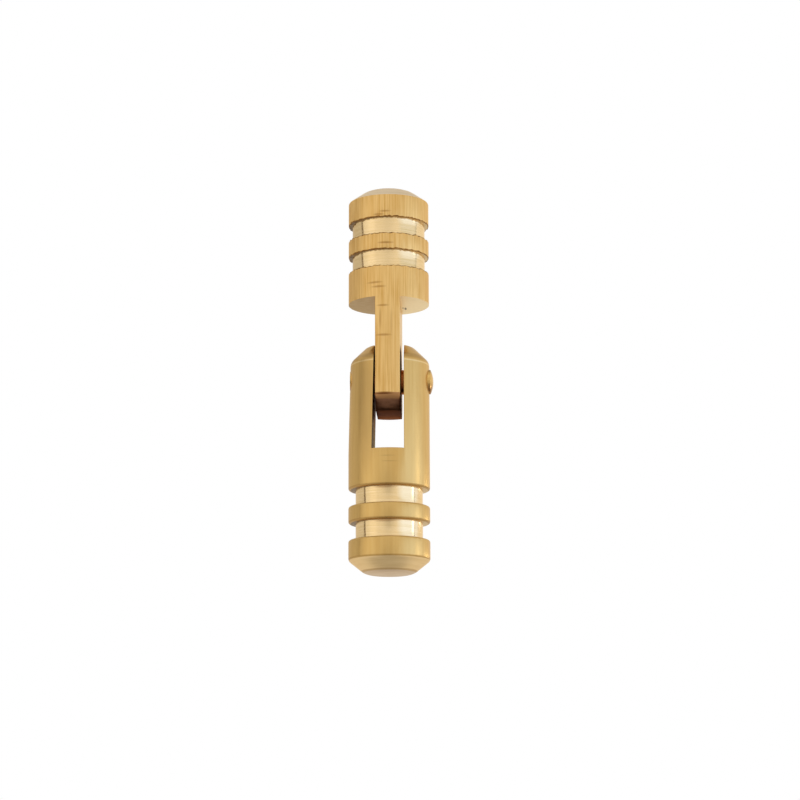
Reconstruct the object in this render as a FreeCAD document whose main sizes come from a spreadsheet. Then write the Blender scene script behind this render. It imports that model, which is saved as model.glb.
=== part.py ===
"""Concealed barrel hinge: two turned barrels, joined tongue in slot by a cross pin.

The hinge stands straight. The barrels' axis is Z, the pin's axis is X, and they cross at the origin.
Sizes are in millimetres.
"""
import FreeCAD, Part
import os
import Sketcher
from enum import IntEnum

SHEET = "sizes"

# name, size and meaning of each driving dimension
DRIVING_SIZES = (
    ("barrel_diameter", 5.1, "outside of both barrels"),
    ("groove_width", 1.05, "each glue groove, along the barrel"),
    ("upper_groove_depth", 0.25, "each glue groove of the upper barrel, towards the axis"),
    ("lower_groove_depth", 0.45, "each glue groove of the lower barrel, towards the axis"),
    ("ring_width", 1.05, "ring left standing between a barrel's two grooves"),
    ("end_chamfer", 1.05, "chamfer of both outer ends, towards the axis"),
    ("tongue_chamfer", 0.85, "chamfer of the tongue's end, each way"),
    ("cheek_chamfer", 1.1, "chamfer of the slotted cheeks' end, each way"),
    ("soft_edge", 0.5, "rounding of both edges of those two chamfers"),
    ("upper_end_chamfer", 0.75, "chamfer of the upper outer end, along the barrel"),
    ("upper_end_land", 1.45, "plain land next to that chamfer"),
    ("upper_shoulder_land", 2.0, "plain land between the shoulder and the first groove"),
    ("shoulder_height", 5.0, "pin axis to the shoulder that the tongue stands on"),
    ("tongue_reach", 2.1, "pin axis to the end of the tongue"),
    ("tongue_thickness", 1.55, "tongue between its two milled flats"),
    ("cheek_reach", 2.2, "pin axis to the end of the slotted cheeks"),
    ("slot_width", 2.0, "slot between the two cheeks"),
    ("slot_depth", 4.6, "pin axis to the floor of the slot"),
    ("solid_land", 2.3, "plain land between the slot's floor and the first groove"),
    ("lower_end_land", 1.25, "plain land next to the lower chamfer"),
    ("lower_end_chamfer", 0.85, "chamfer of the lower outer end, along the barrel"),
    ("pin_diameter", 1.55, "cross pin, pressed in the cheeks"),
    ("pin_clearance", 0.05, "radial play of the tongue on the pin"),
    ("pin_dome", 0.25, "height of the domed end above the barrel"),
    ("pin_recess", 0.05, "depth of the flush end below the barrel"),
    ("pin_edge", 0.1, "chamfer round the flush end"),
)

ZERO = "0"
EDGE_MATCH = 1e-4


class Axis(IntEnum):
    """The sketch's own axes, as constraints number them."""
    HORIZONTAL = -1
    VERTICAL = -2


class Spot(IntEnum):
    """Points of an edge, as constraints number them."""
    START = 1
    END = 2
    CENTRE = 3


# the sketch's origin is the start of its horizontal axis
SKETCH_ORIGIN = (Axis.HORIZONTAL, Spot.START)


def size(alias):
    """Return the formula that reads one driving dimension."""
    return f"{SHEET}.{alias}"


def levels(*aliases):
    """Return the formula of each level reached by stacking these lengths up from zero."""
    return [" + ".join(map(size, aliases[:count])) for count in range(1, len(aliases) + 1)]


OUTSIDE = f"{size('barrel_diameter')} / 2"
UPPER_CORE = f"{OUTSIDE} - {size('upper_groove_depth')}"
LOWER_CORE = f"{OUTSIDE} - {size('lower_groove_depth')}"
OUTER_END = f"{OUTSIDE} - {size('end_chamfer')}"
TONGUE_END = f"{OUTSIDE} - {size('tongue_chamfer')}"
CHEEK_END = f"{OUTSIDE} - {size('cheek_chamfer')}"
PIN_RADIUS = f"{size('pin_diameter')} / 2"


def make_sheet(doc):
    """Write the driving dimensions to the document's spreadsheet."""
    sheet = doc.addObject("Spreadsheet::Sheet", SHEET)
    for row, (alias, value, meaning) in enumerate(DRIVING_SIZES, start=1):
        sheet.set(f"A{row}", meaning)
        sheet.set(f"B{row}", str(value))
        sheet.setAlias(f"B{row}", alias)
    doc.recompute()


def origin_plane(body, role):
    """Return one of the body's own origin planes."""
    return next(plane for plane in body.Origin.OriginFeatures if plane.Role == role)


def new_sketch(body, name, role):
    """Attach an empty sketch to one of the body's origin planes."""
    sketch = body.newObject("Sketcher::SketchObject", name)
    sketch.AttachmentSupport = (origin_plane(body, role), [""])
    sketch.MapMode = "FlatFace"
    return sketch


def bind(sketch, kind, formula, *places):
    """Add a dimension between places of the sketch and tie it to a formula."""
    index = sketch.addConstraint(Sketcher.Constraint(kind, *places, sketch.evalExpression(formula)))
    sketch.setExpression(f"Constraints[{index}]", formula)


def join(sketch, first, first_end, second, second_end):
    """Make the ends of two edges meet."""
    sketch.addConstraint(Sketcher.Constraint("Coincident", first, first_end, second, second_end))


def hold(sketch, edge, end, across, up):
    """Hold one point of an edge at two formulas, or on the axis where a formula is zero."""
    for kind, formula, axis in (("DistanceX", across, Axis.VERTICAL), ("DistanceY", up, Axis.HORIZONTAL)):
        if formula == ZERO:
            sketch.addConstraint(Sketcher.Constraint("PointOnObject", edge, end, axis))
        else:
            bind(sketch, kind, formula, *SKETCH_ORIGIN, edge, end)


def sketch_point(sketch, across, up):
    """Return the point of the sketch that two formulas give."""
    return FreeCAD.Vector(sketch.evalExpression(across), sketch.evalExpression(up), 0)


def draw_outline(sketch, corners):
    """Draw straight edges through corners given as pairs of formulas, and close them."""
    points = [sketch_point(sketch, *corner) for corner in corners]
    ends = points[1:] + points[:1]
    edges = [sketch.addGeometry(Part.LineSegment(a, b)) for a, b in zip(points, ends)]
    for edge, following in zip(edges, edges[1:] + edges[:1]):
        join(sketch, edge, Spot.END, following, Spot.START)
    for edge, corner in zip(edges, corners):
        hold(sketch, edge, Spot.START, *corner)


def turn(body, sketch, axis):
    """Turn a half section all the way round one axis of its sketch."""
    turned = body.newObject("PartDesign::Revolution", body.Label + "_turned")
    turned.Profile = sketch
    turned.ReferenceAxis = (sketch, [axis])
    turned.Angle = 360
    body.Document.recompute()
    return turned


def cut_through(body, sketch, name):
    """Cut a sketch through the whole body, both ways from its plane."""
    volume_before = body.Shape.Volume
    pocket = body.newObject("PartDesign::Pocket", name)
    pocket.Profile = sketch
    pocket.Type = "ThroughAll"
    pocket.SideType = "Symmetric"
    body.Document.recompute()
    if pocket.Shape.Volume >= volume_before:
        raise ValueError(f"{name} removes nothing")
    return pocket


def rim_names(shape, radius, level):
    """Return the names of the round edges of this radius at this level."""
    names = []
    for number, edge in enumerate(shape.Edges, start=1):
        curve = edge.Curve
        if not isinstance(curve, Part.Circle):
            continue
        if abs(curve.Radius - radius) < EDGE_MATCH and abs(curve.Center.z - level) < EDGE_MATCH:
            names.append(f"Edge{number}")
    return names


def soften_end(body, turned, rims):
    """Round the rims, given as radius and level formulas, of a turned end."""
    names = []
    for radius, level in rims:
        names += rim_names(turned.Shape, body.evalExpression(radius), body.evalExpression(level))
    softened = body.newObject("PartDesign::Fillet", body.Label + "_soft_end")
    softened.Base = (turned, names)
    softened.setExpression("Radius", size("soft_edge"))
    body.Document.recompute()


def drill_cross_hole(body, level, diameter):
    """Drill the hinge pin's hole across the body at one level."""
    sketch = new_sketch(body, body.Label + "_hole_sketch", "YZ_Plane")
    centre = sketch_point(sketch, ZERO, level)
    radius = sketch.evalExpression(diameter) / 2
    hole = sketch.addGeometry(Part.Circle(centre, FreeCAD.Vector(0, 0, 1), radius))
    hold(sketch, hole, Spot.CENTRE, ZERO, level)
    bind(sketch, "Diameter", diameter, hole)
    cut_through(body, sketch, body.Label + "_hole")


def make_upper_barrel(doc):
    """Turn the upper barrel from the tongue's end up, then mill the two flats of the tongue."""
    body = doc.addObject("PartDesign::Body", "upper_barrel")
    pin, shoulder, land, groove_1, ring, groove_2, chamfer, top = levels(
        "tongue_reach", "shoulder_height", "upper_shoulder_land", "groove_width",
        "ring_width", "groove_width", "upper_end_land", "upper_end_chamfer",
    )
    section = new_sketch(body, "upper_section", "XZ_Plane")
    draw_outline(section, [
        (ZERO, ZERO), (TONGUE_END, ZERO), (OUTSIDE, size("tongue_chamfer")), (OUTSIDE, land),
        (UPPER_CORE, land), (UPPER_CORE, groove_1), (OUTSIDE, groove_1), (OUTSIDE, ring),
        (UPPER_CORE, ring), (UPPER_CORE, groove_2), (OUTSIDE, groove_2), (OUTSIDE, chamfer),
        (OUTER_END, top), (ZERO, top),
    ])
    turned = turn(body, section, "V_Axis")
    soften_end(body, turned, [(TONGUE_END, ZERO), (OUTSIDE, size("tongue_chamfer"))])

    flat = new_sketch(body, "flat_sketch", "XZ_Plane")
    tongue_side = f"{size('tongue_thickness')} / 2"
    clear_of_barrel = size("barrel_diameter")
    draw_outline(flat, [
        (tongue_side, ZERO), (clear_of_barrel, ZERO),
        (clear_of_barrel, shoulder), (tongue_side, shoulder),
    ])
    right_flat = cut_through(body, flat, "right_flat")
    left_flat = body.newObject("PartDesign::Mirrored", "left_flat")
    left_flat.Originals = [right_flat]
    left_flat.MirrorPlane = (origin_plane(body, "YZ_Plane"), [""])
    body.Tip = left_flat
    doc.recompute()

    drill_cross_hole(body, pin, f"{size('pin_diameter')} + 2 * {size('pin_clearance')}")
    body.setExpression("Placement.Base.z", f"-({pin})")
    return body


def draw_slot(sketch, foot, top):
    """Draw the slot's rectangle, centred on the barrel's axis between two levels."""
    half_width = sketch.evalExpression(size("slot_width")) / 2
    low = sketch.evalExpression(foot)
    high = sketch.evalExpression(top)
    corners = [
        FreeCAD.Vector(-half_width, low, 0), FreeCAD.Vector(half_width, low, 0),
        FreeCAD.Vector(half_width, high, 0), FreeCAD.Vector(-half_width, high, 0),
    ]
    ends = corners[1:] + corners[:1]
    edges = [sketch.addGeometry(Part.LineSegment(a, b)) for a, b in zip(corners, ends)]
    for edge, following in zip(edges, edges[1:] + edges[:1]):
        join(sketch, edge, Spot.END, following, Spot.START)
    floor, right, mouth, left = edges
    sketch.addConstraint(Sketcher.Constraint("Horizontal", mouth))
    for side in (left, right):
        sketch.addConstraint(Sketcher.Constraint("Vertical", side))
    sketch.addConstraint(Sketcher.Constraint("Symmetric", floor, Spot.START, floor, Spot.END, Axis.VERTICAL))
    bind(sketch, "DistanceX", size("slot_width"), floor, Spot.START, floor, Spot.END)
    bind(sketch, "DistanceY", foot, *SKETCH_ORIGIN, floor, Spot.START)
    bind(sketch, "DistanceY", top, *SKETCH_ORIGIN, mouth, Spot.START)


def make_lower_barrel(doc):
    """Turn the lower barrel from its foot up, then saw the slot that takes the tongue."""
    body = doc.addObject("PartDesign::Body", "lower_barrel")
    chamfer, land, groove_1, ring, groove_2, floor, pin, top = levels(
        "lower_end_chamfer", "lower_end_land", "groove_width", "ring_width",
        "groove_width", "solid_land", "slot_depth", "cheek_reach",
    )
    shoulder = f"{top} - {size('cheek_chamfer')}"
    # a section at the back keeps the turned wall's seam clear of the pin's hole
    section = new_sketch(body, "lower_section", "YZ_Plane")
    draw_outline(section, [
        (ZERO, ZERO), (OUTER_END, ZERO), (OUTSIDE, chamfer), (OUTSIDE, land),
        (LOWER_CORE, land), (LOWER_CORE, groove_1), (OUTSIDE, groove_1), (OUTSIDE, ring),
        (LOWER_CORE, ring), (LOWER_CORE, groove_2), (OUTSIDE, groove_2), (OUTSIDE, shoulder),
        (CHEEK_END, top), (ZERO, top),
    ])
    turned = turn(body, section, "V_Axis")
    soften_end(body, turned, [(CHEEK_END, top), (OUTSIDE, shoulder)])

    slot = new_sketch(body, "slot_sketch", "XZ_Plane")
    draw_slot(slot, floor, top)
    cut_through(body, slot, "slot")

    drill_cross_hole(body, pin, size("pin_diameter"))
    body.setExpression("Placement.Base.z", f"-({pin})")
    return body


def make_hinge_pin(doc):
    """Turn the cross pin, from its flush left end to its domed right end."""
    body = doc.addObject("PartDesign::Body", "hinge_pin")
    crown = f"{size('barrel_diameter')} - {size('pin_recess')}"
    tip = f"{crown} + {size('pin_dome')}"
    section = new_sketch(body, "pin_section", "XZ_Plane")
    corners = [
        (tip, ZERO), (ZERO, ZERO), (ZERO, f"{PIN_RADIUS} - {size('pin_edge')}"),
        (size("pin_edge"), PIN_RADIUS), (crown, PIN_RADIUS),
    ]
    points = [sketch_point(section, *corner) for corner in corners]
    edges = [section.addGeometry(Part.LineSegment(a, b)) for a, b in zip(points, points[1:])]
    for edge, following in zip(edges, edges[1:]):
        join(section, edge, Spot.END, following, Spot.START)
    for edge, corner in zip(edges, corners):
        hold(section, edge, Spot.START, *corner)
    hold(section, edges[-1], Spot.END, *corners[-1])

    rim = points[-1]
    dome_height = section.evalExpression(size("pin_dome"))
    dome_radius = (dome_height**2 + rim.y**2) / (2 * dome_height)
    dome_centre = FreeCAD.Vector(rim.x + dome_height - dome_radius, 0, 0)
    rim_direction = rim - dome_centre
    full_round = Part.Circle(dome_centre, FreeCAD.Vector(0, 0, 1), dome_radius)
    rim_angle = FreeCAD.Vector(1, 0, 0).getAngle(rim_direction)
    dome = section.addGeometry(Part.ArcOfCircle(full_round, 0, rim_angle))
    section.addConstraint(Sketcher.Constraint("PointOnObject", dome, Spot.CENTRE, Axis.HORIZONTAL))
    join(section, dome, Spot.START, edges[0], Spot.START)
    join(section, dome, Spot.END, edges[-1], Spot.END)

    turn(body, section, "H_Axis")
    body.setExpression("Placement.Base.x", f"{size('pin_recess')} - {OUTSIDE}")
    return body


def check_document(doc, bodies):
    """Stop if any object failed to build or any piece isn't one valid solid."""
    doc.recompute()
    for item in doc.Objects:
        if {"Invalid", "Error"} & set(item.State):
            raise ValueError(f"{item.Label} failed to build")
    for body in bodies:
        shape = body.Shape
        if shape.isNull() or not shape.isValid() or len(shape.Solids) != 1:
            raise ValueError(f"{body.Label} is not one valid solid")


def main():
    """Build the hinge and write one file for each piece."""
    doc = FreeCAD.newDocument("barrel_hinge")
    make_sheet(doc)
    bodies = [make_upper_barrel(doc), make_lower_barrel(doc), make_hinge_pin(doc)]
    check_document(doc, bodies)
    os.makedirs("parts", exist_ok=True)
    for body in bodies:
        body.Shape.exportStep(f"parts/{body.Label}.step")
        print(body.Label, round(body.Shape.Volume, 4), "cubic millimetres")


main()
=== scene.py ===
"""Looks of an invisible barrel hinge: a tongued and a slotted brass barrel, turning on a cross pin.

Each piece is modelled in millimetres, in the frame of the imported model, and scaled to metres when its
mesh is done.
"""
import logging
import math
from collections.abc import Callable, Iterable
from dataclasses import dataclass
from enum import Enum, IntEnum
from functools import cache

import bmesh
import bpy
from bmesh.types import BMEdge, BMesh, BMFace
from mathutils import Matrix, Vector, noise


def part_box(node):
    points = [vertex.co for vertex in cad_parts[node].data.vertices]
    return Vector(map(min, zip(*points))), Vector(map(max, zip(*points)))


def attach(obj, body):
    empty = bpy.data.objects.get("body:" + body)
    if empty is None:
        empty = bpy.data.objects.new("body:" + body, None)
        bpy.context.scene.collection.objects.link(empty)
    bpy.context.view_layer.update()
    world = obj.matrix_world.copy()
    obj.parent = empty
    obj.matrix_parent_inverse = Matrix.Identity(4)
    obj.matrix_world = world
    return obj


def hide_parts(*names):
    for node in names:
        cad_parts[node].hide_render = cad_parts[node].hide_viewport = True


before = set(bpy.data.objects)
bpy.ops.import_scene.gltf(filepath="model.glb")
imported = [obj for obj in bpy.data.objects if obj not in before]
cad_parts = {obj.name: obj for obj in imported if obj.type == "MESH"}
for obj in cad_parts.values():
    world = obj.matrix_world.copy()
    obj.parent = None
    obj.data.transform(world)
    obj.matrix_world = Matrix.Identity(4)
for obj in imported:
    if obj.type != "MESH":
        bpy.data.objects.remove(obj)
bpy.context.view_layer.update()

LOG = logging.getLogger("barrel_hinge")

MM = 0.001

# steps of round shapes
TURN_STEPS = 192
ROUND_STEPS = 4
RIM_STEPS = 2
DOME_STEPS = 12
BORE_SIDES = 64
FLOOR_SIDES = 96

# distances in millimetres within which a point lies on a plane, or two points are one
TOUCH = 1e-5
JOIN = 1e-4

# upright parts of face normals that tell a piece's surfaces apart, and the angle of a sharp edge
FLAT_END = 0.9
FLAT_NOSE = 0.95
ROOF_SLOPE = 0.5
TIP_SLOPE = 0.3
SHARP_ANGLE = math.radians(38)

# half the depth of wall that a bore is cut out of, in bore radii
BORE_MARGIN = 1.5

# noise of ragged edges and of surfaces, with its cells in one millimetre
BURR_CELLS = 4.0
BURR_FALL = 0.5
BURR_STEP = 2.2
BURR_OCTAVES = 4
GRAIN_OCTAVES = 4.0
CLOUD_CELLS = (0.5, 0.5, 0.5)
CLOUD_OCTAVES = 2.0
CLOUD_RANGE = (0.35, 0.65)

# strength of a mark's soft oval from which its tone shows fully
MARK_CORE = 0.6
NONE_TO_FULL = (0.0, 1.0)

WHITE = (1.0, 1.0, 1.0, 1.0)
BLACK = (0.0, 0.0, 0.0, 1.0)
# dark brown painted shade along the rounded lower edges of lands and chamfers
PAINTED_EDGE_SHADE = (140, 98, 50)

Colour = tuple[float, float, float]
Light = tuple[float, float, float, float]
Cells = tuple[float, float, float]
Span = tuple[float, float]
Test = Callable[[Vector], bool]
Socket = bpy.types.NodeSocket


class Axis(IntEnum):
    """The axes of the shared frame."""

    X = 0
    Y = 1
    Z = 2


class Zone(IntEnum):
    """Surfaces of a piece that can carry a finish of their own."""

    LAND = 0
    GROOVE = 1
    ROOF = 2
    SHOULDER = 3
    MILLED = 4
    TIP = 5
    END = 6
    FOOT = 7
    EDGE = 8
    NOSE = 9


class Grain(Enum):
    """Way the fine lines of a surface run.

    The value turns its stretched reflections from the direction round the barrel, as a share of a
    full circle.
    """

    ALONG = 0.0
    ROUND = 0.25


class Card(Enum):
    """Kinds of card round the hinge, out of the camera's sight."""

    SOFTBOX = "softbox"
    FLAG = "flag"
    MAT = "mat"


@dataclass(frozen=True)
class Corner:
    """One corner of a half section that is spun.

    Attributes:
        radius: Distance from the turning axis.
        level: Height along the turning axis.
        setback: How far along both sides the corner's rounding starts.
    """

    radius: float
    level: float
    setback: float = 0.0


@dataclass(frozen=True)
class Shade:
    """A painted shade or painted reflection that comes in along one axis of a piece.

    Attributes:
        axis: The axis it follows.
        clear: Level where the tone doesn't show yet.
        full: Level from which it shows fully.
        tone: The tone, as screen values.
    """

    axis: Axis
    clear: float
    full: float
    tone: Colour


@dataclass(frozen=True)
class Mark:
    """A short dull mark, as a rule on the front of a piece: a scratch or chip, or a spot of painted shade
    or reflection.

    Attributes:
        across: Its middle along X.
        up: Its middle along Z.
        reach: Half its length along X.
        height: Half its height along Z.
        share: How much of the mark's tone shows at most.
        back: Its middle along Y.
        depth: Half its depth along Y.
    """

    across: float
    up: float
    reach: float
    height: float
    share: float = 0.5
    back: float = -2.5
    depth: float = 1.5


@dataclass(frozen=True)
class Band:
    """A painted shade or painted highlight in a band round a piece.

    Attributes:
        level: Its middle along Z.
        height: Half its height.
        tone: The tone, as screen values.
        share: How much of the tone shows at most.
    """

    level: float
    height: float
    tone: Colour
    share: float


def box_mm(node: str) -> tuple[Vector, Vector]:
    """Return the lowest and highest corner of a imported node, in millimetres.

    Args:
        node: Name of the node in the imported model.

    Returns:
        The two corners.
    """
    low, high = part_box(node)
    return low / MM, high / MM


def linear(colour: Colour) -> Light:
    """Return a colour written as screen values from 0 to 255 as linear light.

    Args:
        colour: Red, green and blue as a screen shows them.

    Returns:
        Linear red, green and blue, with full opacity.
    """
    # the standard curve of screens, which is straight near black
    parts = [value / 255 for value in colour]
    light = [p / 12.92 if p <= 0.04045 else ((p + 0.055) / 1.055) ** 2.4 for p in parts]
    return (*light, 1.0)


class Graph:
    """A new material's node tree, with short calls to add and join nodes."""

    def __init__(self, name: str) -> None:
        """Start a material that has only its shader.

        Args:
            name: Name of the material.
        """
        self.material = bpy.data.materials.new(name)
        self.material.use_nodes = True
        self.tree = self.material.node_tree
        self.shader = self.tree.nodes["Principled BSDF"]

    def add(self, kind: str, **settings: object) -> bpy.types.Node:
        """Add a node and set its properties.

        Args:
            kind: The node's type name.
            settings: Properties of the node and their values.

        Returns:
            The new node.
        """
        node = self.tree.nodes.new(kind)
        for name, value in settings.items():
            setattr(node, name, value)
        return node

    def join(self, source: Socket, target: Socket) -> None:
        """Lead one socket into another."""
        self.tree.links.new(source, target)

    def place(self, scale: Cells, shift: Cells = (0, 0, 0)) -> Socket:
        """Return the piece's own coordinates, scaled and shifted.

        Args:
            scale: Units in one millimetre, each way.
            shift: What is added after scaling.

        Returns:
            The coordinates.
        """
        coordinates = self.add("ShaderNodeTexCoord")
        mapping = self.add("ShaderNodeMapping")
        mapping.inputs["Scale"].default_value = [value / MM for value in scale]
        mapping.inputs["Location"].default_value = shift
        self.join(coordinates.outputs["Object"], mapping.inputs["Vector"])
        return mapping.outputs["Vector"]

    def noise(self, cells: Cells, detail: float) -> Socket:
        """Return noise on the piece's own coordinates.

        Args:
            cells: Cells of the noise in one millimetre, each way.
            detail: Number of finer octaves.

        Returns:
            The noise value.
        """
        texture = self.add("ShaderNodeTexNoise")
        texture.inputs["Scale"].default_value = 1.0
        texture.inputs["Detail"].default_value = detail
        self.join(self.place(cells), texture.inputs["Vector"])
        return texture.outputs["Fac"]

    def rings(self, cells: float, detail: float) -> Socket:
        """Return noise that changes only with the distance from the barrel's axis.

        Args:
            cells: Cells of the noise in one millimetre.
            detail: Number of finer octaves.

        Returns:
            The noise value.
        """
        distance = self.add("ShaderNodeVectorMath", operation="LENGTH")
        self.join(self.place((1, 1, 0)), distance.inputs[0])
        texture = self.add("ShaderNodeTexNoise", noise_dimensions="1D")
        texture.inputs["Scale"].default_value = cells
        texture.inputs["Detail"].default_value = detail
        self.join(distance.outputs["Value"], texture.inputs["W"])
        return texture.outputs["Fac"]

    def spot(self, mark: Mark) -> Socket:
        """Return a soft oval where a mark lies.

        Args:
            mark: Where the oval lies and how large it is.

        Returns:
            The oval's strength, 1 at its middle.
        """
        scale = (1 / mark.reach, 1 / mark.depth, 1 / mark.height)
        shift = (-mark.across / mark.reach, -mark.back / mark.depth, -mark.up / mark.height)
        oval = self.add("ShaderNodeTexGradient", gradient_type="SPHERICAL")
        self.join(self.place(scale, shift), oval.inputs["Vector"])
        return oval.outputs["Fac"]

    def level(self, axis: Axis) -> Socket:
        """Return the place along one axis of the piece.

        Args:
            axis: The axis to measure along.

        Returns:
            The place, in millimetres.
        """
        parts = self.add("ShaderNodeSeparateXYZ")
        self.join(self.place((1, 1, 1)), parts.inputs["Vector"])
        return parts.outputs[axis.name]

    def apart(self, axis: Axis, middle: float) -> Socket:
        """Return how far a point lies from a plane across one axis, in millimetres.

        Args:
            axis: The axis that the plane stands across.
            middle: Where the plane stands.

        Returns:
            The distance, the same on both sides.
        """
        compare = self.add("ShaderNodeMath", operation="SUBTRACT")
        compare.inputs[1].default_value = middle
        self.join(self.level(axis), compare.inputs[0])
        size = self.add("ShaderNodeMath", operation="ABSOLUTE")
        self.join(compare.outputs["Value"], size.inputs[0])
        return size.outputs["Value"]

    def round_barrel(self) -> Socket:
        """Return the direction round the barrel's axis, at each point of the surface.

        Returns:
            The direction, along the scene's axes.
        """
        across = self.add("ShaderNodeVectorMath", operation="CROSS_PRODUCT")
        across.inputs[0].default_value = (0, 0, 1)
        outward = self.add("ShaderNodeVectorTransform", vector_type="VECTOR", convert_from="OBJECT",
                           convert_to="WORLD")
        self.join(self.place((1, 1, 1)), across.inputs[1])
        self.join(across.outputs["Vector"], outward.inputs["Vector"])
        return outward.outputs["Vector"]

    def spread(self, value: Socket, given: Span, wanted: Span) -> Socket:
        """Map one range of a value to another, without going past its ends.

        Args:
            value: The socket to map.
            given: The range to read.
            wanted: The range to give.

        Returns:
            The mapped value.
        """
        node = self.add("ShaderNodeMapRange")
        for name, limit in zip(("From Min", "From Max", "To Min", "To Max"), (*given, *wanted)):
            node.inputs[name].default_value = limit
        self.join(value, node.inputs["Value"])
        return node.outputs["Result"]

    def blend(self, share: Socket, first: Socket | Light, second: Socket | Light) -> Socket:
        """Mix two colours, each a socket or a fixed colour.

        Args:
            share: How much of the second colour shows.
            first: The colour where the share is 0.
            second: The colour where the share is 1.

        Returns:
            The mixed colour.
        """
        node = self.add("ShaderNodeMix", data_type="RGBA")
        sockets = {socket.identifier: socket for socket in node.inputs}
        self.join(share, sockets["Factor_Float"])
        for name, colour in (("A_Color", first), ("B_Color", second)):
            if isinstance(colour, Socket):
                self.join(colour, sockets[name])
            else:
                sockets[name].default_value = colour
        return next(socket for socket in node.outputs if socket.identifier == "Result_Color")


@dataclass(frozen=True)
class BrassFinish:
    """A brass surface of two tones, mixed by a stretched grain and soft clouds, with fine relief.

    Attributes:
        name: Name of the finish.
        deep: Its darker tone, as screen values.
        pale: Its paler tone, as screen values.
        cells: Cells of the grain in one millimetre, each way, or from the axis outward for a faced
            surface.
        roughness: Its smallest and largest roughness.
        grain: Way the grain runs.
        stretch: How much the grain stretches reflections across it.
        relief: Depth of the grain, in millimetres.
        grain_range: Part of the grain's noise that goes from the deep to the pale tone.
        cloud_share: How much of the pale tone the soft clouds bring at most.
        edge_tint: Colour of reflections at a low angle, as linear light.
        shade: A painted shade or painted reflection that comes in along an axis.
        bands: Painted shades and highlights in bands round the piece.
        marks: Short dull marks: scratches and chips, or spots of painted shade or reflection.
        mark_tone: Tone of those marks, as screen values.
    """

    name: str
    deep: Colour
    pale: Colour
    cells: Cells | float
    roughness: Span
    grain: Grain = Grain.ALONG
    stretch: float = 0.0
    relief: float = 0.002
    grain_range: Span = (0.36, 0.64)
    cloud_share: float = 0.4
    edge_tint: Colour = (1.0, 0.9, 0.75)
    shade: Shade | None = None
    bands: tuple[Band, ...] = ()
    marks: tuple[Mark, ...] = ()
    mark_tone: Colour = (150, 98, 42)

    @cache
    def material(self) -> bpy.types.Material:
        """Return the finish as a node material, made once.

        Returns:
            The material.
        """
        graph = Graph(self.name)
        shader = graph.shader
        shader.inputs["Metallic"].default_value = 1.0
        shader.inputs["Specular Tint"].default_value = (*self.edge_tint, 1.0)
        shader.inputs["Anisotropic"].default_value = self.stretch
        shader.inputs["Anisotropic Rotation"].default_value = self.grain.value
        if self.stretch:
            graph.join(graph.round_barrel(), shader.inputs["Tangent"])
        if isinstance(self.cells, tuple):
            grain = graph.noise(self.cells, GRAIN_OCTAVES)
        else:
            grain = graph.rings(self.cells, GRAIN_OCTAVES)
        graph.join(self.tone(graph, grain), shader.inputs["Base Color"])
        graph.join(graph.spread(grain, self.grain_range, self.roughness), shader.inputs["Roughness"])
        bump = graph.add("ShaderNodeBump")
        bump.inputs["Distance"].default_value = self.relief * MM
        graph.join(grain, bump.inputs["Height"])
        graph.join(bump.outputs["Normal"], shader.inputs["Normal"])
        return graph.material

    def tone(self, graph: Graph, grain: Socket) -> Socket:
        """Mix the finish's colour.

        Args:
            graph: The material's node tree.
            grain: The noise of the grain.

        Returns:
            The colour.
        """
        streaks = graph.spread(grain, self.grain_range, NONE_TO_FULL)
        soft = graph.noise(CLOUD_CELLS, CLOUD_OCTAVES)
        clouds = graph.spread(soft, CLOUD_RANGE, (0.0, self.cloud_share))
        tone = graph.blend(streaks, linear(self.deep), linear(self.pale))
        tone = graph.blend(clouds, tone, linear(self.pale))
        # painted shade or painted reflection along one axis
        if self.shade:
            rise = (self.shade.clear, self.shade.full)
            share = graph.spread(graph.level(self.shade.axis), rise, NONE_TO_FULL)
            tone = graph.blend(share, tone, linear(self.shade.tone))
        # painted shade and painted highlights in bands round the piece
        for band in self.bands:
            fall = (band.height / 2, band.height)
            share = graph.spread(graph.apart(Axis.Z, band.level), fall, (band.share, 0.0))
            tone = graph.blend(share, tone, linear(band.tone))
        # marks: real scratches and chips, and spots of painted shade or reflection
        for mark in self.marks:
            share = graph.spread(graph.spot(mark), (0.0, MARK_CORE), (0.0, mark.share))
            tone = graph.blend(share, tone, linear(self.mark_tone))
        return tone


# finishes of the upper barrel
DRAWN = BrassFinish(
    "upper_drawn", (206, 158, 84), (232, 192, 124), (11, 11, 0.3), (0.38, 0.48),
    stretch=0.6, relief=0.004,
    marks=(
        Mark(-0.15, 10.5, 0.45, 0.08), Mark(-0.55, 10.3, 0.4, 0.1), Mark(-0.1, 8.45, 0.6, 0.09, 0.6),
        Mark(-0.8, 5.9, 0.6, 0.09), Mark(-0.55, 5.62, 0.55, 0.09), Mark(-0.28, 4.4, 0.45, 0.09),
        Mark(-0.45, 3.6, 0.09, 0.9, 0.35), Mark(0.25, 3.3, 0.07, 1.2, 0.25), Mark(-0.25, 2.51, 0.6, 0.1),
        # painted shade: a dark line where the tongue's front turns into its rounded end
        Mark(-0.25, -1.16, 0.7, 0.08, 0.9),
    ),
)
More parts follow.
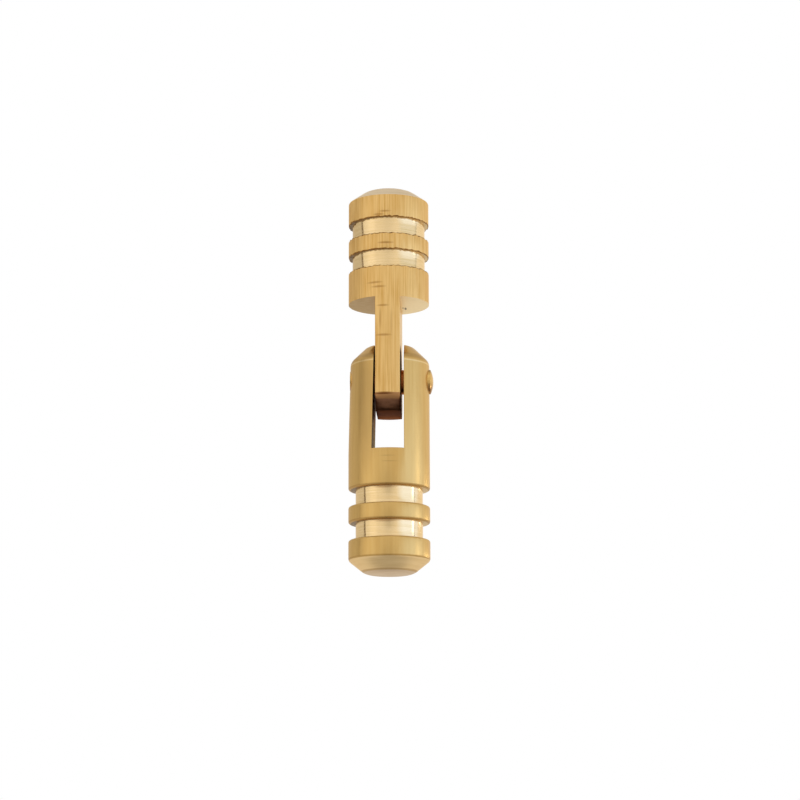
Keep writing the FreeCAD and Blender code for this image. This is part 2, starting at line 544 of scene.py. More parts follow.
# dark tone of the groove edges: partly burr, partly painted shade along the edges
BURR_AND_SHADE = BrassFinish("burr_and_edge_shade", (122, 82, 38), (156, 110, 56), (4, 4, 4), (0.4, 0.5))
SHOULDER = BrassFinish(
    "milled_shoulder", (232, 206, 156), (245, 222, 176), (2, 12, 2), (0.35, 0.5),
    # painted shade: the left part of the shoulder's underside darker; the two marks below are real chips
    relief=0.001, edge_tint=(1.0, 0.95, 0.85), shade=Shade(Axis.X, 0.5, -0.5, (172, 140, 90)),
    marks=(
        Mark(1.04, 5.0, 0.09, 0.3, 0.9, back=0.9, depth=0.4),
        Mark(0.88, 5.0, 0.06, 0.3, 0.9, back=0.7, depth=0.2),
    ),
    mark_tone=(60, 38, 16),
)
MILLED = BrassFinish(
    "milled_flat", (208, 170, 108), (224, 190, 132), (1, 14, 0.4), (0.3, 0.42),
    relief=0.001,
)
# painted shade: the tongue's rounded end dark brown and dark in its reflections, with a painted
# reflection as a golden band on its upper part and a painted dark line at its top
TIP = BrassFinish(
    "tip_painted_shade", (128, 88, 62), (150, 106, 78), (3, 6, 3), (0.4, 0.55),
    edge_tint=(0.45, 0.3, 0.26), shade=Shade(Axis.Z, -1.54, -1.44, (176, 128, 82)),
    marks=(Mark(-0.25, -1.2, 0.7, 0.07, 0.9),), mark_tone=(104, 60, 26),
)
# painted shade: the tongue's flat end dark, with a lighter painted reflection towards its back
NOSE = BrassFinish(
    "nose_painted_shade", (110, 86, 76), (124, 98, 88), (3, 6, 3), (0.4, 0.55),
    edge_tint=(0.45, 0.3, 0.26), shade=Shade(Axis.Y, 0.0, 1.0, (150, 100, 70)),
)
DULL_END = BrassFinish(
    "dull_end", (218, 198, 166), (232, 214, 186), (0.4, 0.4, 9), (0.3, 0.38),
    grain=Grain.ROUND, relief=0.0004,
)

# finishes of both barrels
TURNED = BrassFinish(
    "bright_turned", (227, 194, 138), (237, 207, 156), (0.4, 0.4, 12), (0.13, 0.19),
    grain=Grain.ROUND, stretch=0.5, relief=0.001,
    # painted shade: brown ovals at the top of the lower grooves, under the lands
    marks=(
        Mark(-0.2, -6.92, 0.9, 0.17, 0.55, back=-2.1, depth=1.0),
        Mark(-0.1, -9.02, 1.0, 0.17, 0.55, back=-2.1, depth=1.0),
    ),
)
ROOF = BrassFinish(
    "groove_roof", (206, 180, 136), (222, 200, 158), 8, (0.35, 0.5),
    # painted shade: the groove roofs darker towards the left
    relief=0.001, shade=Shade(Axis.X, 1.6, -2.0, (122, 103, 86)),
)
FACED = BrassFinish(
    "faced_end", (190, 164, 132), (206, 182, 152), 9, (0.32, 0.45),
    grain=Grain.ROUND, stretch=0.4, relief=0.001,
)

# finishes of the lower barrel
SATIN = BrassFinish(
    "lower_satin", (201, 161, 94), (209, 171, 104), (5, 5, 0.25), (0.29, 0.33),
    stretch=0.3, relief=0.0004,
    bands=(
        # painted shade as a dark band on the cheeks' chamfer, and a painted highlight as a bright line
        # below it
        Band(1.32, 0.26, (160, 124, 72), 0.45), Band(1.0, 0.06, (244, 216, 160), 0.5),
        # painted shade under the ring and the solid land, and at the top of the end chamfer
        Band(-6.86, 0.12, PAINTED_EDGE_SHADE, 0.5), Band(-8.96, 0.12, PAINTED_EDGE_SHADE, 0.5), Band(-11.25, 0.1, PAINTED_EDGE_SHADE, 0.4),
    ),
    marks=(
        Mark(0.0, -5.1, 0.6, 0.04, 0.3), Mark(0.15, -5.45, 0.7, 0.04, 0.3),
        # painted shade: the left cheek darker
        Mark(-1.3, -1.6, 0.65, 5.0, 0.4, back=-2.2, depth=1.5),
    ),
    mark_tone=(140, 110, 68),
)
# painted shade: the sawn slot's walls, floor and bores dark, and darker and redder towards the top,
# beside the tongue
SAWN_SHADE = BrassFinish(
    "sawn_slot_painted_shade", (118, 100, 72), (140, 120, 88), (1.5, 1.2, 9), (0.4, 0.55),
    edge_tint=(0.5, 0.4, 0.28), shade=Shade(Axis.Z, -3.6, -2.0, (116, 58, 24)),
)
TURNED_END = BrassFinish(
    "turned_end", (220, 186, 130), (232, 200, 146), (0.4, 0.4, 9), (0.34, 0.42),
    # painted shade: a dark band at the foot of the end chamfer, next to the end face
    grain=Grain.ROUND, relief=0.0004, bands=(Band(-12.02, 0.1, PAINTED_EDGE_SHADE, 0.5),),
)

# finishes of the cross pin
# painted reflection: the pin browner towards the bottom, with a dark spot at the top of its dome
WIRE = BrassFinish(
    "pin_wire", (200, 154, 82), (218, 178, 106), (2, 2, 2), (0.1, 0.15),
    relief=0.001, shade=Shade(Axis.Z, -0.05, -0.6, (150, 104, 58)),
    marks=(Mark(2.65, 0.75, 0.4, 0.4, 0.7, back=0.0, depth=1.2),), mark_tone=(104, 88, 60),
)
# painted shade: the pin's shank between the cheeks dark brown
SHANK_SHADE = BrassFinish("pin_shank_painted_shade", (160, 86, 38), (176, 102, 50), (6, 3, 3), (0.25, 0.35))


def settle_order(bm: BMesh) -> None:
    """Sort a mesh's parts by their places, because some operators leave them in a new order each run.

    Args:
        bm: The mesh to sort.
    """
    places = {vert: rank for rank, vert in enumerate(sorted(bm.verts, key=lambda v: tuple(v.co)))}
    bm.verts.sort(key=places.get)
    bm.verts.index_update()
    for parts in (bm.edges, bm.faces):
        ranked = sorted(parts, key=lambda part: sorted(vert.index for vert in part.verts))
        ranks = {part: rank for rank, part in enumerate(ranked)}
        parts.sort(key=ranks.get)
        parts.index_update()


def spun(corners: list[Corner]) -> BMesh:
    """Spin a half section round Z to a closed shell.

    Args:
        corners: The section's corners, from the axis at its foot to the axis at its top.

    Returns:
        The shell.
    """
    bm = bmesh.new()
    points = [bm.verts.new((corner.radius, 0, corner.level)) for corner in corners]
    for ends in zip(points, points[1:]):
        bm.edges.new(ends)
    for point, corner in zip(points, corners):
        if corner.setback:
            bmesh.ops.bevel(bm, geom=[point], offset=corner.setback, affect="VERTICES",
                            segments=ROUND_STEPS, profile=0.5, material=-1)
    bmesh.ops.spin(bm, geom=bm.verts[:] + bm.edges[:], cent=(0, 0, 0), axis=(0, 0, 1),
                   angle=math.tau, steps=TURN_STEPS, use_merge=True)
    bmesh.ops.remove_doubles(bm, verts=bm.verts[:], dist=JOIN)
    settle_order(bm)
    bmesh.ops.recalc_face_normals(bm, faces=bm.faces[:])
    return bm


def faces_where(bm: BMesh, test: Test) -> list[BMFace]:
    """Return the faces whose centre passes a test.

    Args:
        bm: The mesh to search.
        test: The test of a face's centre.

    Returns:
        The faces found.
    """
    return [face for face in bm.faces if test(face.calc_center_median())]


def slice_faces(bm: BMesh, faces: Iterable[BMFace], point: Vector, normal: Vector) -> list[BMFace]:
    """Cut faces along a plane, and keep both sides.

    Args:
        bm: The mesh that holds the faces.
        faces: The faces to cut.
        point: A point of the plane.
        normal: The plane's direction.

    Returns:
        The cut faces.
    """
    parts = dict.fromkeys(faces)
    for face in list(parts):
        parts.update(dict.fromkeys((*face.edges, *face.verts)))
    cut = bmesh.ops.bisect_plane(bm, geom=list(parts), dist=TOUCH, plane_co=point, plane_no=normal)
    return [part for part in cut["geom"] if isinstance(part, BMFace)]


def settle_cut(bm: BMesh, levels: Span, reach: float, within: Test) -> None:
    """Draw points that lie very near a cut across X onto it, so that no sliver is left beside it.

    Args:
        bm: The mesh that was cut.
        levels: Where the two cuts stand.
        reach: The distance within which a point is drawn to the cut.
        within: The test that the points along the cut pass, so that no others move.
    """
    for level in levels:
        on_cut = [v for v in bm.verts if v.is_boundary and abs(v.co.x - level) < JOIN]
        beside = [v for v in bm.verts if JOIN <= abs(v.co.x - level) < reach and within(v.co)]
        found = bmesh.ops.find_doubles(bm, verts=on_cut + beside, keep_verts=on_cut, dist=reach)
        bmesh.ops.weld_verts(bm, targetmap=found["targetmap"])


def link_ends(bm: BMesh, spot: Test) -> None:
    """Join the two points that a cut leaves at the ends of a straight inner edge.

    Args:
        bm: The mesh that was cut.
        spot: The test that only those two points pass.
    """
    first, second = [v for v in bm.verts if spot(v.co)]
    bm.edges.new((first, second))


def cap(bm: BMesh, axis: Axis, level: float, zone: Zone) -> list[BMFace]:
    """Close the open edges that lie in one plane.

    Args:
        bm: The mesh to close.
        axis: The axis that the plane stands across.
        level: Where the plane stands.
        zone: The zone of the new faces.

    Returns:
        The new faces.
    """
    rim = [
        edge for edge in bm.edges
        if len(edge.link_faces) < 2 and all(abs(v.co[axis] - level) < JOIN for v in edge.verts)
    ]
    made = bmesh.ops.edgeloop_fill(bm, edges=rim)["faces"]
    for face in made:
        face.material_index = zone
    return made


def outline(faces: list[BMFace], inner: list[BMFace]) -> list[BMEdge]:
    """Return the edges where faces meet what lies outside.

    Args:
        faces: The faces whose edges are looked at.
        inner: All the faces that count as inside.

    Returns:
        The edges, each once and in a fixed order.
    """
    within = set(inner)
    edges = dict.fromkeys(edge for face in faces for edge in face.edges)
    return [edge for edge in edges if not set(edge.link_faces) <= within]


def soften_rims(bm: BMesh, flats: list[BMFace], others: list[BMFace], width: float) -> None:
    """Take the sharpness off the edges where flats meet the turned surface.

    Args:
        bm: The mesh that holds the flats.
        flats: The flat faces whose edges are softened.
        others: Further flat faces, whose shared edges stay sharp.
        width: How far back the softening starts.
    """
    rims = outline(flats, flats + others)
    bmesh.ops.bevel(bm, geom=rims, offset=width, affect="EDGES", segments=RIM_STEPS, profile=0.5,
                    material=-1, clamp_overlap=False, loop_slide=True)


def punch(bm: BMesh, faces: list[BMFace], radius: float) -> list[BMEdge]:
    """Cut a round hole along X out of a wall.

    Args:
        bm: The mesh that holds the wall.
        faces: The wall's faces round the hole.
        radius: The hole's radius.

    Returns:
        The edges of the hole's rim.
    """
    inside = faces
    reach = radius * math.cos(math.pi / BORE_SIDES)
    for side in range(BORE_SIDES):
        angle = math.tau * (side + 0.5) / BORE_SIDES
        outward = Vector((0, math.cos(angle), math.sin(angle)))
        cut = slice_faces(bm, inside, outward * reach, outward)
        inside = [face for face in cut if face.calc_center_median().dot(outward) < reach]
    rim = outline(inside, inside)
    bmesh.ops.delete(bm, geom=inside, context="FACES")
    return rim


def drill(bm: BMesh, first: Test, second: Test, radius: float) -> None:
    """Drill a round hole along X between two walls.

    Args:
        bm: The mesh to drill.
        first: The test of the centre of the first wall's faces.
        second: The test of the centre of the second wall's faces.
        radius: The hole's radius.
    """
    rims = [edge for test in (first, second) for edge in punch(bm, faces_where(bm, test), radius)]
    for face in bmesh.ops.bridge_loops(bm, edges=rims)["faces"]:
        face.material_index = Zone.MILLED


@dataclass
class TurnedPiece:
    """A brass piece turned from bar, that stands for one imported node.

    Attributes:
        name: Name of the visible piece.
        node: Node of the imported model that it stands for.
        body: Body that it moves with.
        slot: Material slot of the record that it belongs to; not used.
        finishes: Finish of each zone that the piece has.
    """

    name: str
    node: str
    body: str
    slot: str
    finishes: dict[Zone, BrassFinish]

    def build(self) -> BMesh:
        """Return the piece's mesh, in millimetres."""
        raise NotImplementedError

    def dress(self, bm: BMesh) -> bpy.types.Object:
        """Turn the mesh into the finished object, on its body and in place of its node.

        Args:
            bm: The mesh, in millimetres.

        Returns:
            The finished object.
        """
        bmesh.ops.remove_doubles(bm, verts=bm.verts[:], dist=JOIN)
        bmesh.ops.dissolve_degenerate(bm, edges=bm.edges[:], dist=JOIN)
        settle_order(bm)
        bmesh.ops.recalc_face_normals(bm, faces=bm.faces[:])
        bmesh.ops.scale(bm, verts=bm.verts[:], vec=(MM, MM, MM))
        slots = {zone: index for index, zone in enumerate(self.finishes)}
        for face in bm.faces:
            face.material_index = slots[face.material_index]
        mesh = bpy.data.meshes.new(self.name)
        bm.to_mesh(mesh)
        bm.free()
        mesh.shade_smooth()
        mesh.set_sharp_from_angle(angle=SHARP_ANGLE)
        for finish in self.finishes.values():
            mesh.materials.append(finish.material())
        piece = bpy.data.objects.new(self.name, mesh)
        bpy.context.scene.collection.objects.link(piece)
        shading = piece.modifiers.new("even_shading", "WEIGHTED_NORMAL")
        shading.keep_sharp = True
        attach(piece, self.body)
        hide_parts(self.node)
        LOG.info("%s: %d faces on %s", self.name, len(mesh.polygons), self.body)
        return piece

    def make(self) -> bpy.types.Object:
        """Build the piece and dress it."""
        return self.dress(self.build())


@dataclass
class Barrel(TurnedPiece):
    """A barrel with two glue grooves and a ring between them.

    Attributes:
        groove_depth: Depth of each groove.
        inner_chamfer: Chamfer of the end at the hinge's middle, each way.
        edge: Setback of the rounding of its outer edges.
        burr: How far its groove edges wander, where they are left unbroken.
        rim: Setback of the rounding round its end face.
        groove_width: Width of each groove.
        ring_width: Width of the ring between the grooves.
        outer_chamfer: How far the chamfer at its end face reaches in.
        soft_edge: Radius of the rounding where the inner chamfer starts and ends.
        root: Setback of the rounding at the foot of a groove's walls.
    """

    groove_depth: float
    inner_chamfer: float
    edge: float
    burr: float = 0.0
    rim: float = 0.3
    groove_width: float = 1.05
    ring_width: float = 1.05
    outer_chamfer: float = 1.05
    soft_edge: float = 0.5
    root: float = 0.01

    @property
    def inner_setback(self) -> float:
        """Return the setback of the rounding where a chamfer turns by half a right angle."""
        return self.soft_edge * math.tan(math.pi / 8)

    def groove(self, radius: float, foot: float) -> list[Corner]:
        """Return the corners of one groove.

        Args:
            radius: The barrel's radius.
            foot: Level of the groove's lower wall.

        Returns:
            The corners, from the lower wall to the upper one.
        """
        core = radius - self.groove_depth
        top = foot + self.groove_width
        return [
            Corner(radius, foot, self.edge), Corner(core, foot, self.root),
            Corner(core, top, self.root), Corner(radius, top, self.edge),
        ]

    def finish_grooves(self, bm: BMesh, radius: float, feet: Span) -> None:
        """Mark the grooves' zones and let their edges wander a little.

        Args:
            bm: The barrel's mesh.
            radius: The barrel's radius.
            feet: Level of the lower wall of each groove.
        """
        for foot in feet:
            top = foot + self.groove_width
            near = faces_where(bm, lambda c: foot - self.edge < c.z < top + self.edge)
            for face in near:
                reach = face.calc_center_median().xy.length
                if reach < radius - self.edge:
                    face.material_index = Zone.ROOF if face.normal.z < -ROOF_SLOPE else Zone.GROOVE
                # edge roundings of burred grooves take the dark tone of burr and painted shade
                elif self.burr and reach < radius - JOIN:
                    face.material_index = Zone.EDGE
            if not self.burr:
                continue
            for vert in {vert for face in near for vert in face.verts}:
                if vert.co.xy.length > radius - self.edge - JOIN:
                    wander = noise.fractal(vert.co * BURR_CELLS, BURR_FALL, BURR_STEP, BURR_OCTAVES)
                    vert.co.z += self.burr * wander


@dataclass
class TonguedBarrel(Barrel):
    """The upper barrel, with a flat tongue milled out of the same bar.

    Attributes:
        end_chamfer_rise: Height of the chamfer at its end face.
        end_land: Width of the land between that chamfer and the grooves.
        shoulder_land: Width of the land between the grooves and the shoulder.
        tongue_thickness: Thickness of the tongue.
        bore_radius: Radius of the pin's bore.
        tongue_edge: How far back the softening of the tongue's edges starts.
    """

    groove_depth: float = 0.25
    inner_chamfer: float = 0.85
    edge: float = 0.05
    burr: float = 0.05
    end_chamfer_rise: float = 0.75
    end_land: float = 1.45
    shoulder_land: float = 2.0
    tongue_thickness: float = 1.55
    bore_radius: float = 0.825
    tongue_edge: float = 0.03

    def build(self) -> BMesh:
        """Turn the piece from bar, mill its tongue, then bore it.

        Returns:
            The mesh, in millimetres.
        """
        low, high = box_mm(self.node)
        radius = min(high.x, high.y, -low.x, -low.y)
        chamfer_foot = high.z - self.end_chamfer_rise
        second_groove = chamfer_foot - self.end_land - self.groove_width
        first_groove = second_groove - self.ring_width - self.groove_width
        shoulder = first_groove - self.shoulder_land
        bm = spun([
            Corner(0, low.z), Corner(radius - self.inner_chamfer, low.z, self.inner_setback),
            Corner(radius, low.z + self.inner_chamfer, self.inner_setback),
            *self.groove(radius, first_groove), *self.groove(radius, second_groove),
            Corner(radius, chamfer_foot, self.edge),
            Corner(radius - self.outer_chamfer, high.z, self.rim), Corner(0, high.z),
        ])
        self.finish_grooves(bm, radius, (first_groove, second_groove))
        for face in faces_where(bm, lambda c: c.z > chamfer_foot):
            face.material_index = Zone.END if face.normal.z < FLAT_END else Zone.FOOT
        # the tongue's end: its slope and its flat carry painted shade
        for face in faces_where(bm, lambda c: c.z < shoulder):
            if face.normal.z < -TIP_SLOPE:
                face.material_index = Zone.TIP if face.normal.z > -FLAT_NOSE else Zone.NOSE
        self.mill_tongue(bm, shoulder)
        half = self.tongue_thickness / 2
        drill(bm, lambda c: abs(c.x - half) < JOIN and c.z < shoulder - JOIN,
              lambda c: abs(c.x + half) < JOIN and c.z < shoulder - JOIN, self.bore_radius)
        return bm

    def mill_tongue(self, bm: BMesh, shoulder: float) -> None:
        """Mill both flats of the tongue up to the shoulder.

        Args:
            bm: The turned bar.
            shoulder: Level of the shoulder.
        """
        half = self.tongue_thickness / 2
        slice_faces(bm, bm.faces, Vector((0, 0, shoulder)), Vector((0, 0, 1)))
        for side in (-half, half):
            beyond = faces_where(bm, lambda c: c.z < shoulder)
            slice_faces(bm, beyond, Vector((side, 0, 0)), Vector((1, 0, 0)))
        waste = faces_where(bm, lambda c: c.z < shoulder and abs(c.x) > half)
        bmesh.ops.delete(bm, geom=waste, context="FACES")
        settle_cut(bm, (-half, half), self.tongue_edge, lambda p: p.z < shoulder + JOIN)
        flats = []
        for side in (-half, half):
            link_ends(bm, lambda p: abs(p.x - side) < JOIN and abs(p.z - shoulder) < JOIN)
            flats += cap(bm, Axis.X, side, Zone.MILLED)
        soften_rims(bm, flats, cap(bm, Axis.Z, shoulder, Zone.SHOULDER), self.tongue_edge)


@dataclass
class SlottedBarrel(Barrel):
    """The lower barrel, sawn down the middle so that two cheeks straddle the tongue.

    Attributes:
        end_chamfer_rise: Height of the chamfer at its end face.
        end_land: Width of the land between that chamfer and the grooves.
        solid_land: Height from the grooves to the slot's floor.
        slot_width: Width of the slot.
        slot_edge: How far back the softening of the slot's edges starts.
        bore_radius: Radius of the pin's bore.
        pinch: How far the left cheek leans in for each millimetre above the slot's floor.
    """

    groove_depth: float = 0.45
    inner_chamfer: float = 1.0
    edge: float = 0.13
    end_chamfer_rise: float = 0.85
    end_land: float = 1.25
    solid_land: float = 2.3
    slot_width: float = 2.0
    slot_edge: float = 0.03
    bore_radius: float = 0.775
    pinch: float = 0.0225

    def build(self) -> BMesh:
        """Turn the piece from bar, saw its slot, bore it, then pinch it as the pressed pin did.

        Returns:
            The mesh, in millimetres.
        """
        low, high = box_mm(self.node)
        radius = min(high.x, high.y, -low.x, -low.y)
        chamfer_top = low.z + self.end_chamfer_rise
        first_groove = chamfer_top + self.end_land
        second_groove = first_groove + self.groove_width + self.ring_width
        floor = second_groove + self.groove_width + self.solid_land
        bm = spun([
            Corner(0, low.z), Corner(radius - self.outer_chamfer, low.z, self.rim),
            Corner(radius, chamfer_top, self.edge),
            *self.groove(radius, first_groove), *self.groove(radius, second_groove),
            Corner(radius, high.z - self.inner_chamfer, self.inner_setback),
            Corner(radius - self.inner_chamfer, high.z, self.inner_setback), Corner(0, high.z),
        ])
        self.finish_grooves(bm, radius, (first_groove, second_groove))
        for face in faces_where(bm, lambda c: c.z < chamfer_top):
            face.material_index = Zone.END if face.normal.z > -FLAT_END else Zone.FOOT
        self.saw_slot(bm, floor)
        half = self.slot_width / 2
        reach = BORE_MARGIN * self.bore_radius
        top = high.z - self.inner_chamfer - reach / 2
        for side in (-1, 1):
            drill(bm, lambda c: c.x * side > half + JOIN and abs(c.y) < reach and floor < c.z < top,
                  lambda c: abs(c.x - side * half) < JOIN, self.bore_radius)
        self.pinch_cheek(bm, floor)
        return bm

    def pinch_cheek(self, bm: BMesh, floor: float) -> None:
        """Lean the left cheek in.

        Args:
            bm: The slotted and bored bar.
            floor: Level of the slot's floor, where the lean starts.
        """
        lean = Matrix.Identity(4)
        lean[Axis.X][Axis.Z] = self.pinch
        lean.translation.x = -self.pinch * floor
        cheek = [v for v in bm.verts if v.co.x < 0 and v.co.z > floor]
        bmesh.ops.transform(bm, matrix=lean, verts=cheek)

    def saw_slot(self, bm: BMesh, floor: float) -> None:
        """Saw the slot from the top down to its floor.

        Args:
            bm: The turned bar.
            floor: Level of the slot's floor.
        """
        half = self.slot_width / 2
        slice_faces(bm, bm.faces, Vector((0, 0, floor)), Vector((0, 0, 1)))
        for side in (-half, half):
            above = faces_where(bm, lambda c: c.z > floor)
            slice_faces(bm, above, Vector((side, 0, 0)), Vector((1, 0, 0)))
        waste = faces_where(bm, lambda c: c.z > floor and abs(c.x) < half)
        bmesh.ops.delete(bm, geom=waste, context="FACES")
        settle_cut(bm, (-half, half), self.slot_edge, lambda p: p.z > floor - JOIN)
        flats = []
        for side in (-half, half):
            link_ends(bm, lambda p: abs(p.x - side) < JOIN and abs(p.z - floor) < JOIN)
            flats += cap(bm, Axis.X, side, Zone.MILLED)
        flats += cap(bm, Axis.Z, floor, Zone.MILLED)
        soften_rims(bm, flats, [], self.slot_edge)


@dataclass
class CrossPin(TurnedPiece):
    """The pin across both barrels, flush at its left end and domed at its right end.

    Attributes:
        dome_height: Height of the dome above its rim.
        dome_edge: Setback of the rounding where the dome meets its rim.
        flush_chamfer: Chamfer round the flush end, each way.
        flush_depth: How far the flush end stands back, where the left cheek leans in.
        shank: Half the length of the shank between the cheeks, dark with painted shade.
    """

    dome_height: float = 0.18
    dome_edge: float = 0.02
    flush_chamfer: float = 0.06
    flush_depth: float = 0.07
    shank: float = 1.05

    def build(self) -> BMesh:
        """Turn the pin upright, then lay it along X.

        Returns:
            The mesh, in millimetres.
        """
        low, high = box_mm(self.node)
        radius = high.z
        foot = low.x + self.flush_depth
        crown = high.x - self.dome_height
        dome_radius = (self.dome_height**2 + radius**2) / (2 * self.dome_height)
        rim_angle = math.asin(radius / dome_radius)
        dome = []
        for step in range(1, DOME_STEPS + 1):
            angle = rim_angle * (1 - step / DOME_STEPS)
            drop = dome_radius * (1 - math.cos(angle))
            dome.append(Corner(dome_radius * math.sin(angle), high.x - drop))
        bm = spun([
            Corner(0, foot), Corner(radius - self.flush_chamfer, foot),
            Corner(radius, foot + self.flush_chamfer),
            Corner(radius, -self.shank), Corner(radius, self.shank),
            Corner(radius, crown, self.dome_edge), *dome,
        ])
        # the shank between the cheeks takes the painted shade
        for face in faces_where(bm, lambda c: abs(c.z) < self.shank):
            face.material_index = Zone.MILLED
        lay = Matrix.Rotation(math.pi / 2, 3, "Y")
        bmesh.ops.rotate(bm, verts=bm.verts[:], cent=(0, 0, 0), matrix=lay)
        return bm


@dataclass(frozen=True)
class StudioCard:
    """A soft lamp or a grey card that the brass reflects, out of the camera's sight.

    Attributes:
        name: Name of the card.
        kind: Whether it shines, stands as a grey flag, or lies as a grey mat.
        bearing: Degrees from the camera's side, positive to the right.
        width: How many degrees it covers sideways.
        level: Light it adds, or for a grey card its own level, where the surround is 1.
        tint: Colour of its light.
        foot: Level of its lower edge, in millimetres.
        head: Level of its upper edge, in millimetres.
        distance: Distance from the hinge, in millimetres.
        fade: Share of a grey card's half width over which it fades to the surround.
        lie: Level of a card that lies flat, in millimetres.
    """

    name: str
    kind: Card
    bearing: float
    width: float
    level: float
    tint: Colour = (1.0, 1.0, 1.0)
    foot: float = -40.0
    head: float = 180.0
    distance: float = 260.0
    fade: float = 0.5
    lie: float = -44.0

    def make(self) -> bpy.types.Object:
        """Set the card up, turned to the hinge.

        Returns:
            The card's object.
        """
        across = 2 * self.distance * math.tan(math.radians(self.width / 2)) * MM
        upright = (self.head - self.foot) * MM
        bearing = Matrix.Rotation(math.radians(self.bearing), 4, "Z")
        if self.kind is Card.SOFTBOX:
            data = self.lamp(across, upright)
        else:
            data = self.sheet(across, upright)
        card = bpy.data.objects.new(self.name, data)
        if self.kind is Card.MAT:
            middle = Vector((0, -(self.foot + self.head) / 2, self.lie)) * MM
            card.matrix_world = bearing @ Matrix.Translation(middle)
        else:
            away = Matrix.Translation(Vector((0, -self.distance, (self.foot + self.head) / 2)) * MM)
            card.matrix_world = bearing @ away @ Matrix.Rotation(math.pi / 2, 4, "X")
        bpy.context.scene.collection.objects.link(card)
        card.visible_camera = False
        card.visible_diffuse = False
        if self.kind is not Card.SOFTBOX:
            card.visible_shadow = False
        LOG.info("%s: %s", self.name, self.kind.value)
        return card

    def lamp(self, across: float, upright: float) -> bpy.types.Light:
        """Return a soft lamp.

        Args:
            across: Its width, in metres.
            upright: Its height, in metres.

        Returns:
            The lamp's data.
        """
        lamp = bpy.data.lights.new(self.name, "AREA")
        lamp.shape = "RECTANGLE"
        lamp.size = across
        lamp.size_y = upright
        lamp.color = self.tint
        lamp.energy = self.level * math.pi * across * upright
        return lamp

    def sheet(self, across: float, upright: float) -> bpy.types.Mesh:
        """Return a flat grey card that fades to the surround at its sides.

        Args:
            across: Its width, in metres.
            upright: Its height, in metres.

        Returns:
            The card's mesh, with its grey.
        """
        bm = bmesh.new()
        bmesh.ops.create_grid(bm, x_segments=1, y_segments=1, size=0.5)
        bmesh.ops.scale(bm, verts=bm.verts[:], vec=(across, upright, 1))
        mesh = bpy.data.meshes.new(self.name)
        bm.to_mesh(mesh)
        bm.free()
        graph = Graph(self.name)
        graph.shader.inputs["Base Color"].default_value = BLACK
        graph.shader.inputs["Specular IOR Level"].default_value = 0.0
        graph.shader.inputs["Emission Strength"].default_value = 1.0
        half = across / 2 / MM
        edge = graph.spread(graph.apart(Axis.X, 0.0), (half * (1 - self.fade), half), NONE_TO_FULL)
        own_light = (*(self.level * part for part in self.tint), 1.0)
        graph.join(graph.blend(edge, own_light, WHITE), graph.shader.inputs["Emission Color"])
        mesh.materials.append(graph.material)
        return mesh


# a part of the brass that faces some way shows the card that stands at twice that bearing
CARDS = (
    StudioCard("right_strip", Card.SOFTBOX, 90, 8, 1.7, head=42),
    StudioCard("back_glint", Card.SOFTBOX, 130, 10, 6.0, foot=-24, head=6),
    StudioCard("right_glow", Card.FLAG, 74, 96, 1.0, tint=(1.18, 1.42, 2.0), head=72, fade=0.6),
    StudioCard("left_glow", Card.FLAG, -55, 40, 1.16, head=120, fade=0.7),
    StudioCard("right_high", Card.FLAG, 70, 74, 0.96, tint=(0.92, 1.0, 1.1), foot=76, head=140,
               fade=0.3),
    StudioCard("right_line", Card.FLAG, 99, 2.5, 0.3, distance=240, fade=0.2),
    StudioCard("left_flag", Card.FLAG, -130, 90, 0.76, head=62, fade=0.25),
    StudioCard("left_high", Card.FLAG, -130, 90, 0.65, foot=62, fade=0.25),
    StudioCard("left_line", Card.FLAG, -90, 7, 0.15, tint=(1.0, 0.75, 0.5), distance=240, fade=0.2),
    StudioCard("camera_flag", Card.FLAG, 0, 54, 0.7, head=31, fade=0.9),
    StudioCard("high_flag", Card.FLAG, 0, 54, 0.9, foot=31, fade=0.9),
    StudioCard("front_mat", Card.MAT, 0, 14, 0.5, foot=-12, head=240, fade=0.6),
    StudioCard("ceiling", Card.MAT, 0, 100, 0.78, foot=-500, head=150, fade=0.3, lie=300),
)


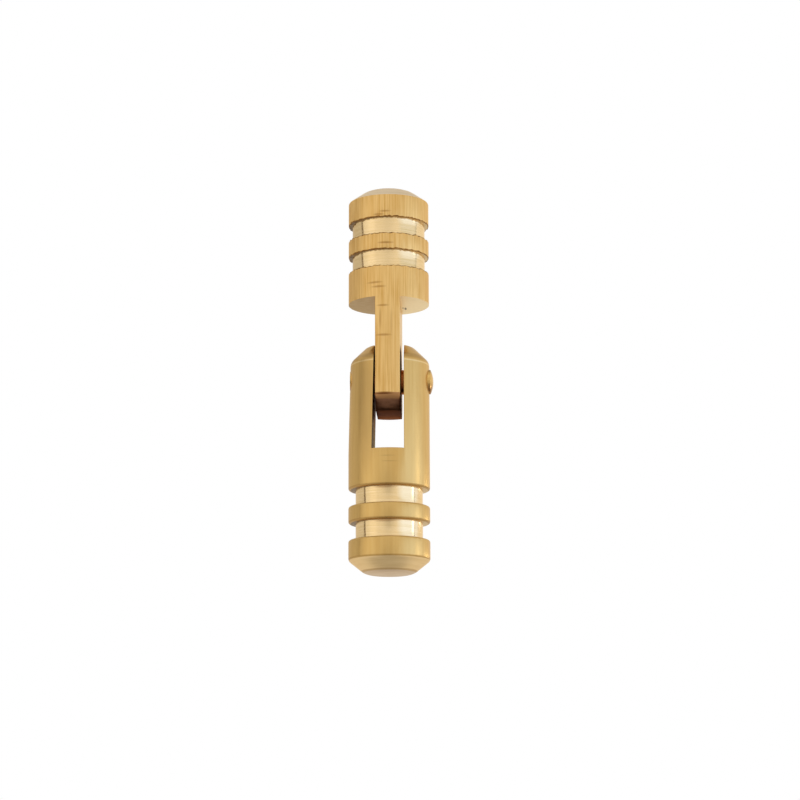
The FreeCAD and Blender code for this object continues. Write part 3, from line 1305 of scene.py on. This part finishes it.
@dataclass
class Studio:
    """A pale floor, a white surround, soft light and the camera of the photograph's view.

    Attributes:
        floor_level: Level of the floor, in millimetres.
        floor_radius: Radius of the floor, in millimetres.
        floor_tone: Colour of the floor, as linear light.
        floor_roughness: Roughness of the floor.
        camera_place: Where the camera stands, in millimetres.
        camera_yaw: Turn of the camera to the left, in radians.
        camera_pitch: Turn of the camera up, in radians.
        camera_roll: Turn of the camera about its view, in radians.
        lens: Focal length, in millimetres on Blender's usual sensor.
        clip: Nearest and farthest distance that the camera sees, in millimetres.
    """

    floor_level: float = -45.0
    floor_radius: float = 1500.0
    floor_tone: Light = (0.9, 0.9, 0.9, 1.0)
    floor_roughness: float = 0.9
    camera_place: tuple[float, float, float] = (4.8893, -133.2529, -28.6541)
    camera_yaw: float = 0.0315
    camera_pitch: float = 0.2036
    camera_roll: float = 0.0034
    lens: float = 97.41
    clip: Span = (10.0, 10_000.0)

    def make_camera(self) -> bpy.types.Object:
        """Place the camera, looking slightly up at the hinge from in front.

        Returns:
            The camera's object.
        """
        data = bpy.data.cameras.new("photo_view")
        data.lens = self.lens
        data.clip_start, data.clip_end = (limit * MM for limit in self.clip)
        camera = bpy.data.objects.new("photo_view", data)
        turn = Matrix.Rotation(self.camera_yaw, 4, "Z") @ Matrix.Rotation(self.camera_pitch, 4, "X")
        turn = turn @ Matrix.Rotation(self.camera_roll, 4, "Y") @ Matrix.Rotation(math.pi / 2, 4, "X")
        camera.matrix_world = Matrix.Translation(Vector(self.camera_place) * MM) @ turn
        bpy.context.scene.collection.objects.link(camera)
        bpy.context.scene.camera = camera
        return camera

    def make_world(self) -> None:
        """Surround the hinge with plain white."""
        world = bpy.data.worlds.new("white_surround")
        world.use_nodes = True
        background = world.node_tree.nodes["Background"]
        background.inputs["Color"].default_value = WHITE
        background.inputs["Strength"].default_value = 1.0
        bpy.context.scene.world = world

    def make_floor(self) -> bpy.types.Object:
        """Lay the pale floor below the hinge.

        Returns:
            The floor's object.
        """
        bm = bmesh.new()
        bmesh.ops.create_circle(bm, cap_ends=True, segments=FLOOR_SIDES, radius=self.floor_radius * MM)
        bmesh.ops.translate(bm, verts=bm.verts[:], vec=(0, 0, self.floor_level * MM))
        mesh = bpy.data.meshes.new("floor")
        bm.to_mesh(mesh)
        bm.free()
        graph = Graph("pale_floor")
        graph.shader.inputs["Base Color"].default_value = self.floor_tone
        graph.shader.inputs["Roughness"].default_value = self.floor_roughness
        graph.shader.inputs["Specular IOR Level"].default_value = 0.0
        mesh.materials.append(graph.material)
        floor = bpy.data.objects.new("floor", mesh)
        bpy.context.scene.collection.objects.link(floor)
        return floor

    def make(self) -> None:
        """Build the whole studio."""
        self.make_world()
        self.make_floor()
        self.make_camera()
        for card in CARDS:
            card.make()


def main() -> None:
    """Build the hinge's pieces and the studio round them."""
    logging.basicConfig(level=logging.INFO, format="%(message)s")
    bpy.context.scene.view_settings.view_transform = "Standard"
    both = {Zone.GROOVE: TURNED, Zone.ROOF: ROOF, Zone.FOOT: FACED}
    upper = both | {
        Zone.LAND: DRAWN, Zone.SHOULDER: SHOULDER, Zone.MILLED: MILLED, Zone.TIP: TIP, Zone.NOSE: NOSE,
        Zone.END: DULL_END, Zone.EDGE: BURR_AND_SHADE,
    }
    lower = both | {Zone.LAND: SATIN, Zone.MILLED: SAWN_SHADE, Zone.END: TURNED_END}
    pin = {Zone.LAND: WIRE, Zone.MILLED: SHANK_SHADE}
    pieces = (
        TonguedBarrel("tongued_barrel", "upper_barrel", "tongue_half", "drawn_brass", upper),
        SlottedBarrel("slotted_barrel", "lower_barrel", "slotted_half", "satin_brass", lower),
        CrossPin("cross_pin", "hinge_pin", "slotted_half", "pin_brass", pin),
    )
    for piece in pieces:
        piece.make()
    Studio().make()


if __name__ == "__main__":
    main()
